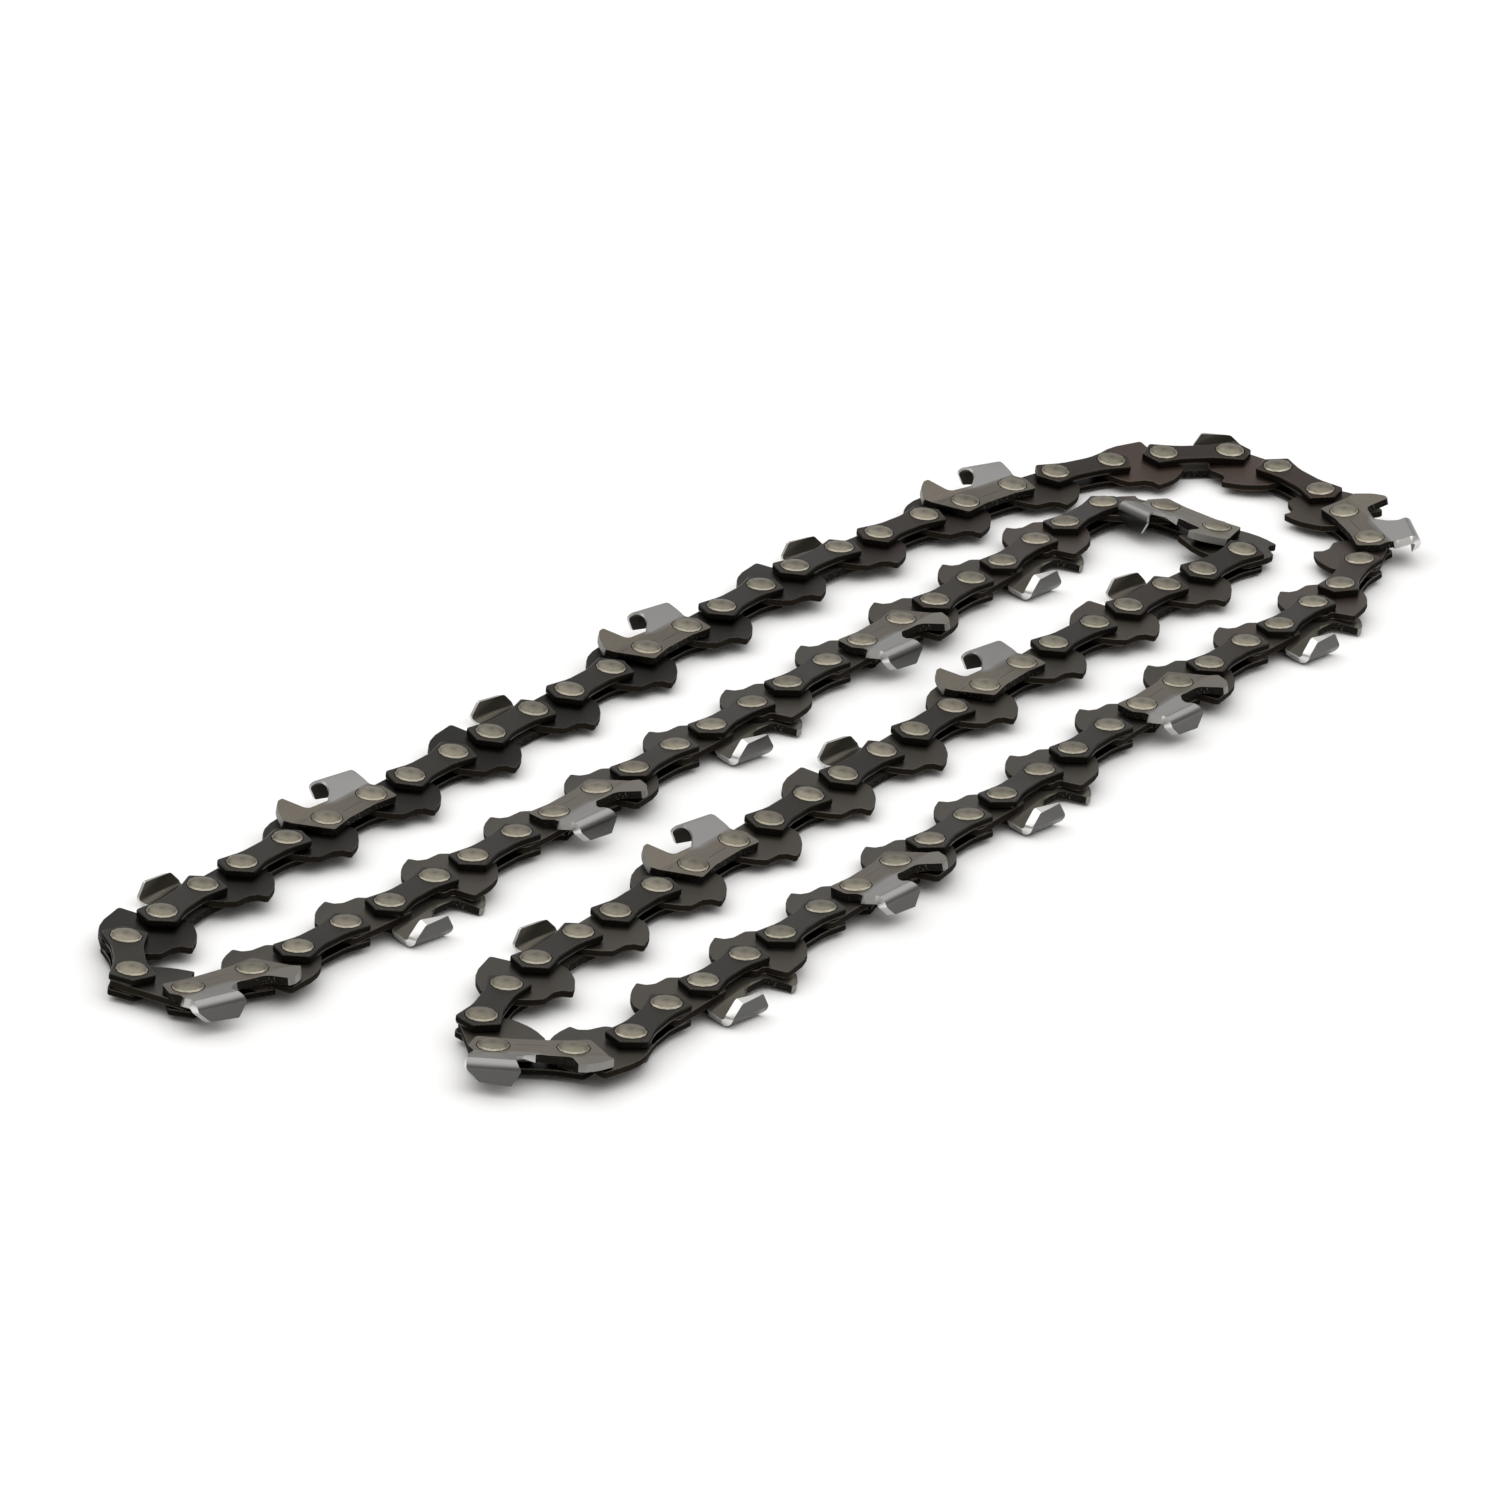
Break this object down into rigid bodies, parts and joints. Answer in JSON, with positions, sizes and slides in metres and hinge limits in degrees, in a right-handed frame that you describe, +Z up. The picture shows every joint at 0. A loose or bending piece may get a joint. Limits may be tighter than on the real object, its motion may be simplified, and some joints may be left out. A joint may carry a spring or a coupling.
{
  "type": "chainsaw chain",
  "caption": "Closed loop of saw chain lying folded on its side: cutters on alternate sides, tie straps and tanged drive links, joined by rivets.",
  "frame": {"origin": "centre of the loop's bounding box, on the surface that it lies on", "axes": "+X along the straight runs towards the outer bend, +Y across the runs, +Z up, along the rivets"},
  "size_m": [0.2558, 0.081, 0.0049],
  "materials": {
    "cutter_steel": "satin, with a chromed top plate",
    "strap_steel": "black oxide, satin",
    "link_steel": "black oxide, satin"
  },
  "bodies": {
    "first_run": {"first_run_tie_straps": "strap_steel", "first_run_plain_drive_links": "link_steel", "first_run_bumper_drive_links": "link_steel", "left_cutter_01": "cutter_steel", "right_cutter_01": "cutter_steel", "left_cutter_02": "cutter_steel"},
    "outer_bend": {"outer_bend_tie_straps": "strap_steel", "outer_bend_plain_drive_links": "link_steel", "outer_bend_bumper_drive_links": "link_steel", "right_cutter_02": "cutter_steel", "left_cutter_03": "cutter_steel", "right_cutter_03": "cutter_steel", "left_cutter_04": "cutter_steel", "right_cutter_04": "cutter_steel"},
    "second_run": {"second_run_tie_straps": "strap_steel", "second_run_plain_drive_links": "link_steel", "second_run_bumper_drive_links": "link_steel", "left_cutter_05": "cutter_steel", "right_cutter_05": "cutter_steel", "left_cutter_06": "cutter_steel", "right_cutter_06": "cutter_steel"},
    "lower_bend": {"lower_bend_tie_straps": "strap_steel", "lower_bend_plain_drive_links": "link_steel", "lower_bend_bumper_drive_links": "link_steel", "left_cutter_07": "cutter_steel"},
    "third_run": {"third_run_tie_straps": "strap_steel", "third_run_plain_drive_links": "link_steel", "third_run_bumper_drive_links": "link_steel", "right_cutter_07": "cutter_steel", "left_cutter_08": "cutter_steel", "right_cutter_08": "cutter_steel", "left_cutter_09": "cutter_steel"},
    "inner_bend": {"inner_bend_tie_straps": "strap_steel", "inner_bend_plain_drive_links": "link_steel", "inner_bend_bumper_drive_links": "link_steel", "right_cutter_09": "cutter_steel", "left_cutter_10": "cutter_steel", "right_cutter_10": "cutter_steel"},
    "fourth_run": {"fourth_run_tie_straps": "strap_steel", "fourth_run_plain_drive_links": "link_steel", "fourth_run_bumper_drive_links": "link_steel", "left_cutter_11": "cutter_steel", "right_cutter_11": "cutter_steel", "left_cutter_12": "cutter_steel", "right_cutter_12": "cutter_steel"},
    "upper_bend": {"upper_bend_tie_straps": "strap_steel", "upper_bend_plain_drive_links": "link_steel", "upper_bend_bumper_drive_links": "link_steel", "left_cutter_13": "cutter_steel", "right_cutter_13": "cutter_steel"}
  },
  "joints": [
    {"name": "second_run_fold", "type": "hinge", "parent": "lower_bend", "child": "second_run", "pos_m": [-0.08947, -0.03309, 0.00245], "axis": [0, 0, 1], "range_deg": [-25, 20]},
    {"name": "outer_bend_fold", "type": "hinge", "parent": "second_run", "child": "outer_bend", "pos_m": [0.04099, -0.03058, 0.00245], "axis": [0, 0, 1], "range_deg": [-20, 25]},
    {"name": "first_run_fold", "type": "hinge", "parent": "outer_bend", "child": "first_run", "pos_m": [0.04225, 0.03211, 0.00245], "axis": [0, 0, 1], "range_deg": [-25, 20]},
    {"name": "third_run_fold", "type": "hinge", "parent": "lower_bend", "child": "third_run", "pos_m": [-0.08864, -0.01279, 0.00245], "axis": [0, 0, 1], "range_deg": [-25, 20]},
    {"name": "inner_bend_fold", "type": "hinge", "parent": "third_run", "child": "inner_bend", "pos_m": [0.04181, -0.01029, 0.00245], "axis": [0, 0, 1], "range_deg": [-20, 25]},
    {"name": "fourth_run_fold", "type": "hinge", "parent": "inner_bend", "child": "fourth_run", "pos_m": [0.04442, 0.01049, 0.00245], "axis": [0, 0, 1], "range_deg": [-25, 20]},
    {"name": "upper_bend_fold", "type": "hinge", "parent": "fourth_run", "child": "upper_bend", "pos_m": [-0.08606, 0.0114, 0.00245], "axis": [0, 0, 1], "range_deg": [-20, 25]}
  ],
  "couplings": [
    {"joint": "outer_bend_fold", "follows": "second_run_fold", "ratio": -1},
    {"joint": "first_run_fold", "follows": "second_run_fold", "ratio": 1},
    {"joint": "third_run_fold", "follows": "second_run_fold", "ratio": 1},
    {"joint": "inner_bend_fold", "follows": "second_run_fold", "ratio": -1},
    {"joint": "fourth_run_fold", "follows": "second_run_fold", "ratio": 1},
    {"joint": "upper_bend_fold", "follows": "second_run_fold", "ratio": -1}
  ]
}
